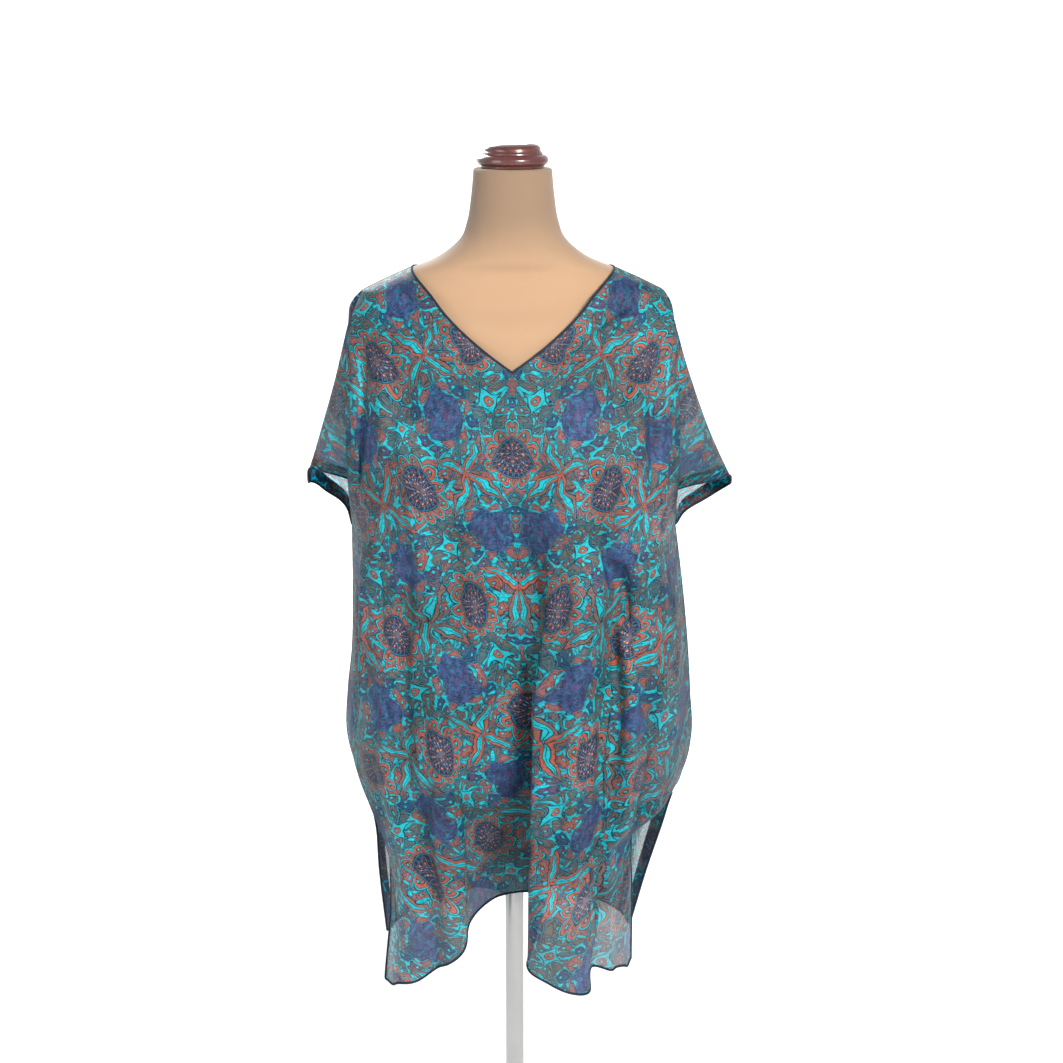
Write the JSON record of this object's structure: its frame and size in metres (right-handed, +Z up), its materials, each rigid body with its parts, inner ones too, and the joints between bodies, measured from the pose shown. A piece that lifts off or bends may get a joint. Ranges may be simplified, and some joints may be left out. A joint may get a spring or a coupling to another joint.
{
  "type": "kaftan on a dress form",
  "caption": "Short V-neck kaftan with cut-in short sleeves and side slits, worn by a limbless dress form on a pole and round base.",
  "frame": {"origin": "middle of the base's flat underside, on the floor, under the pole", "axes": "+Z up along the pole, -Y towards the kaftan's front, +X to the right of someone who looks at the front"},
  "size_m": [0.5498, 0.3641, 1.5183],
  "materials": {
    "printed_chiffon": "sheer printed chiffon with a slight sheen, turquoise, navy, brown and rust",
    "cream_jersey": "matt cream jersey stretched over the form",
    "mahogany": "turned mahogany, stained and lacquered",
    "brushed_steel": "satin"
  },
  "bodies": {
    "root": {"kaftan_front": "printed_chiffon", "kaftan_back": "printed_chiffon", "form_torso": "cream_jersey", "neck_cap": "mahogany", "stand_collar": "brushed_steel", "stand_pole": "brushed_steel", "stand_base": "mahogany"}
  },
  "joints": []
}
